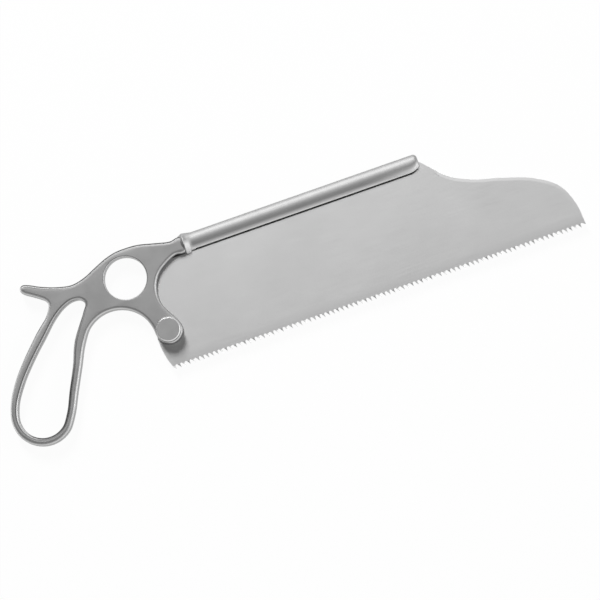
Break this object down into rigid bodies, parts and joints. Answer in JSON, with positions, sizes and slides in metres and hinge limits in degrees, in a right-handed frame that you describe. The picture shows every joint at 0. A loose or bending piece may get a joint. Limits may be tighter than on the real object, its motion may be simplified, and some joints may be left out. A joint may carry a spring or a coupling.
{
  "type": "amputation saw",
  "caption": "All-metal surgical bone saw: flat handle with finger hole and finger loop, oval slotted back, toothed blade clamped at its heel by a knob.",
  "frame": {"origin": "centre of the round finger hole, in the middle of the blade's thickness", "axes": "+X along the blade to its toe, +Y up to the oval back, +Z out of the side with the knob"},
  "size_m": [0.3514, 0.0944, 0.014],
  "materials": {
    "handle_steel": "satin",
    "blade_steel": "brushed",
    "clamp_steel": "satin"
  },
  "bodies": {
    "frame": {"handle_frame": "handle_steel", "spine_collar": "handle_steel", "back_spine": "handle_steel", "tang_pins": "handle_steel", "threaded_bush": "clamp_steel"},
    "blade": {"saw_blade": "blade_steel"},
    "washer": {"clamp_washer": "clamp_steel"},
    "knob": {"clamp_knob": "clamp_steel", "clamp_stud": "clamp_steel"}
  },
  "joints": [
    {"name": "blade_swing", "type": "hinge", "parent": "frame", "child": "blade", "pos_m": [0.0144, -0.0371, 0], "axis": [0, 0, 1], "range_deg": [-90, 0]},
    {"name": "clamp_travel", "type": "slide", "parent": "frame", "child": "washer", "axis": [0, 0, 1], "range_m": [0, 0.0024]},
    {"name": "clamp_turn", "type": "hinge", "parent": "washer", "child": "knob", "pos_m": [0.0144, -0.0371, 0.005], "axis": [0, 0, 1], "range_deg": [0, 1080]}
  ],
  "couplings": [
    {"joint": "clamp_travel", "follows": "clamp_turn", "m_per_rad": 0.00012732}
  ]
}
